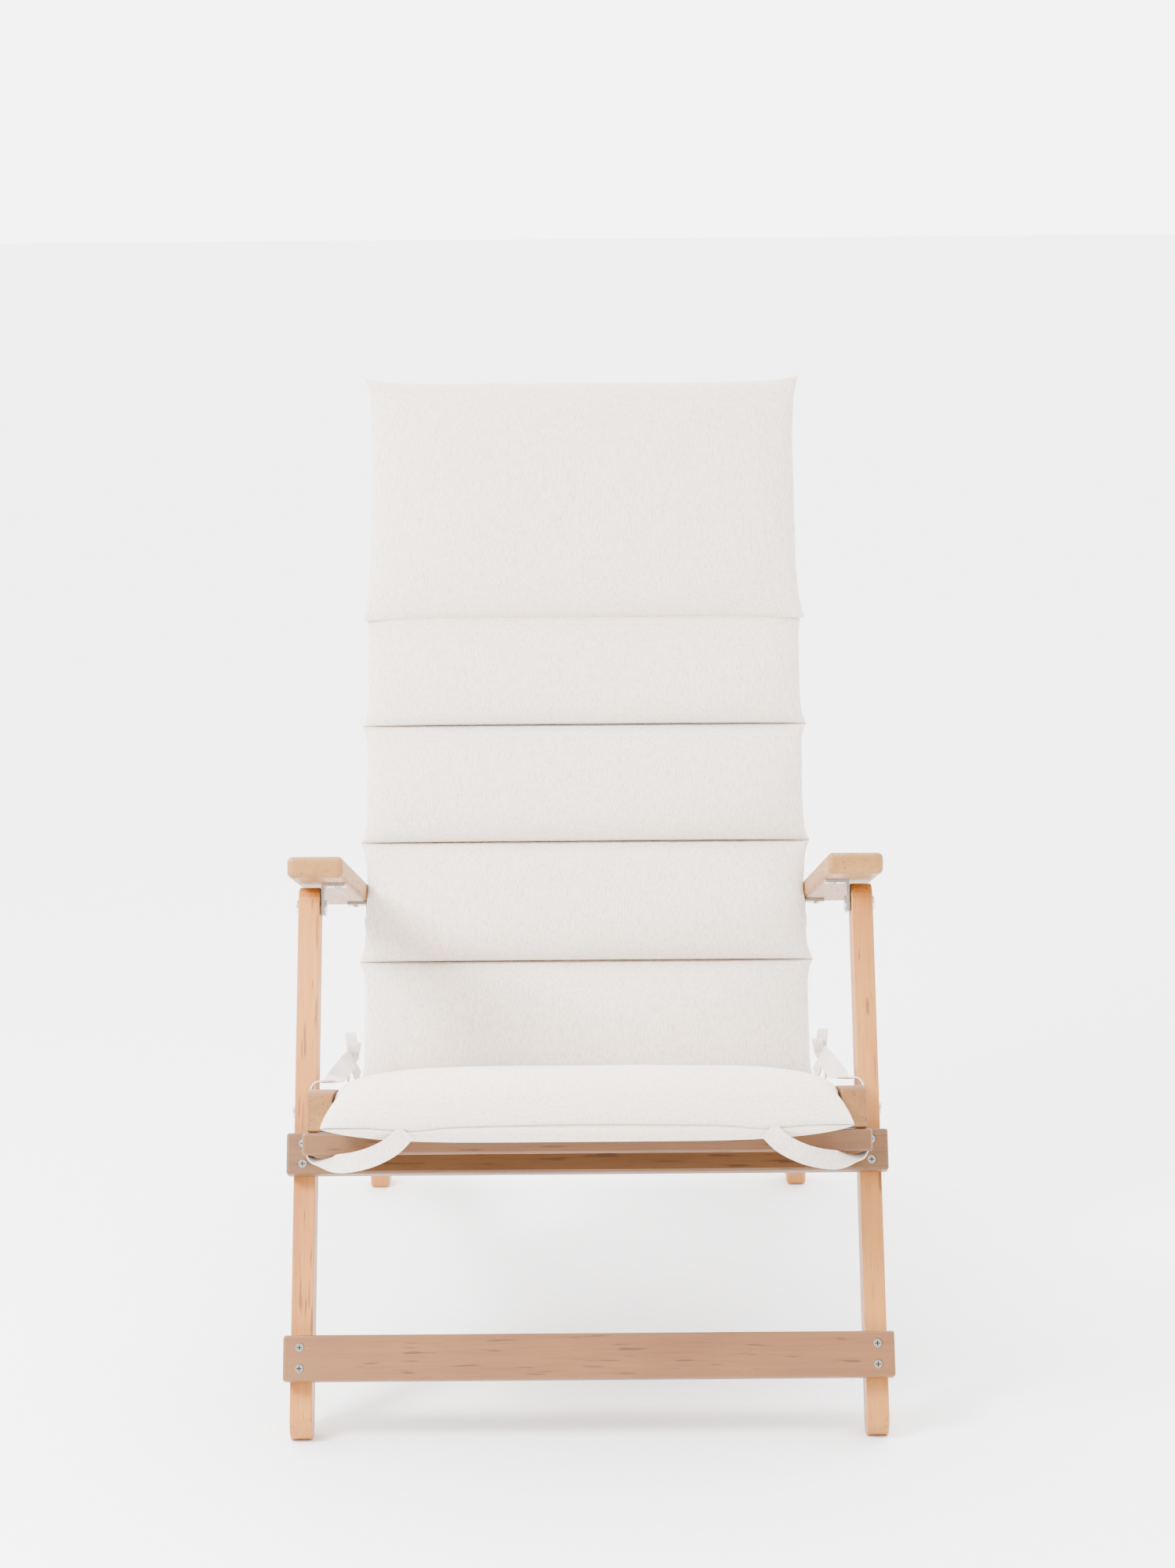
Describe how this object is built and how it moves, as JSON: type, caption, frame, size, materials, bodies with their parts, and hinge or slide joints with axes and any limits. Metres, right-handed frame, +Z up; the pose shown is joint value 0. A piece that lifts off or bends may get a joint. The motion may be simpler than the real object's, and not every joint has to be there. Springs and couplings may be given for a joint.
{
  "type": "folding deck chair",
  "caption": "Low folding deck chair: slatted wooden frame on a parallelogram linkage, flat armrests, and a quilted cushion with a head pillow tied on by straps.",
  "frame": {"origin": "on the floor under the middle of the chair's width and depth", "axes": "+X to the right seen from the front, -Y out of the front of the chair, +Z up"},
  "size_m": [0.6064, 0.939, 1.0111],
  "materials": {
    "frame_wood": "satin oiled hardwood with fine straight grain",
    "armrest_wood": "satin oiled hardwood with fine straight grain",
    "bolt_steel": "polished stainless steel",
    "screw_steel": "stainless steel",
    "bracket_steel": "satin stainless steel",
    "cushion_fabric": "light warm grey woven outdoor fabric"
  },
  "bodies": {
    "seat_frame": {"seat_rail_left": "frame_wood", "seat_rail_right": "frame_wood", "seat_slat_1": "frame_wood", "seat_slat_2": "frame_wood", "seat_slat_3": "frame_wood", "seat_slat_4": "frame_wood", "seat_slat_5": "frame_wood", "seat_slat_6": "frame_wood", "seat_front_slat": "frame_wood", "rear_leg_left": "frame_wood", "rear_leg_right": "frame_wood", "rear_stretcher": "frame_wood", "rear_leg_screw_left": "screw_steel", "rear_leg_screw_right": "screw_steel", "seat_cushion": "cushion_fabric", "strap_left": "cushion_fabric", "strap_right": "cushion_fabric"},
    "back_frame": {"back_stile_left": "frame_wood", "back_stile_right": "frame_wood", "back_slat_1": "frame_wood", "back_slat_2": "frame_wood", "back_slat_3": "frame_wood", "back_slat_4": "frame_wood", "back_slat_5": "frame_wood", "back_slat_6": "frame_wood", "back_slat_7": "frame_wood", "back_slat_8": "frame_wood", "stile_bolt_left": "bolt_steel", "stile_washer_left": "bracket_steel", "armrest_rear_bolt_left": "bolt_steel", "stile_bolt_right": "bolt_steel", "stile_washer_right": "bracket_steel", "armrest_rear_bolt_right": "bolt_steel", "back_cushion": "cushion_fabric", "head_pillow": "cushion_fabric"},
    "front_leg_frame": {"leg_front_left": "frame_wood", "leg_front_right": "frame_wood", "crossbar_upper": "frame_wood", "crossbar_upper_screw_left_low": "screw_steel", "crossbar_upper_screw_left_high": "screw_steel", "crossbar_upper_screw_right_low": "screw_steel", "crossbar_upper_screw_right_high": "screw_steel", "crossbar_lower": "frame_wood", "crossbar_lower_screw_left_low": "screw_steel", "crossbar_lower_screw_left_high": "screw_steel", "crossbar_lower_screw_right_low": "screw_steel", "crossbar_lower_screw_right_high": "screw_steel", "leg_bolt_left": "bolt_steel", "leg_washer_left": "bracket_steel", "armrest_front_bolt_left": "bolt_steel", "leg_bolt_right": "bolt_steel", "leg_washer_right": "bracket_steel", "armrest_front_bolt_right": "bolt_steel"},
    "armrest_left_body": {"armrest_left": "armrest_wood", "bracket_front_left": "bracket_steel", "bracket_rear_left": "bracket_steel"},
    "armrest_right_body": {"armrest_right": "armrest_wood", "bracket_front_right": "bracket_steel", "bracket_rear_right": "bracket_steel"}
  },
  "joints": [
    {"name": "back_fold", "type": "hinge", "parent": "seat_frame", "child": "back_frame", "pos_m": [0, 0.005, 0.21751], "axis": [1, 0, 0], "range_deg": [0, 70], "deforming": ["seat_cushion", "back_cushion", "head_pillow"]},
    {"name": "leg_fold", "type": "hinge", "parent": "seat_frame", "child": "front_leg_frame", "pos_m": [0, -0.28794, 0.29875], "axis": [1, 0, 0], "range_deg": [0, 70]},
    {"name": "armrest_left_fold", "type": "hinge", "parent": "front_leg_frame", "child": "armrest_left_body", "pos_m": [0, -0.19522, 0.49228], "axis": [1, 0, 0], "range_deg": [-70, 0]},
    {"name": "armrest_right_fold", "type": "hinge", "parent": "front_leg_frame", "child": "armrest_right_body", "pos_m": [0, -0.19522, 0.49228], "axis": [1, 0, 0], "range_deg": [-70, 0]}
  ],
  "couplings": [
    {"joint": "leg_fold", "follows": "back_fold", "ratio": 1},
    {"joint": "armrest_left_fold", "follows": "back_fold", "ratio": -1},
    {"joint": "armrest_right_fold", "follows": "back_fold", "ratio": -1}
  ]
}
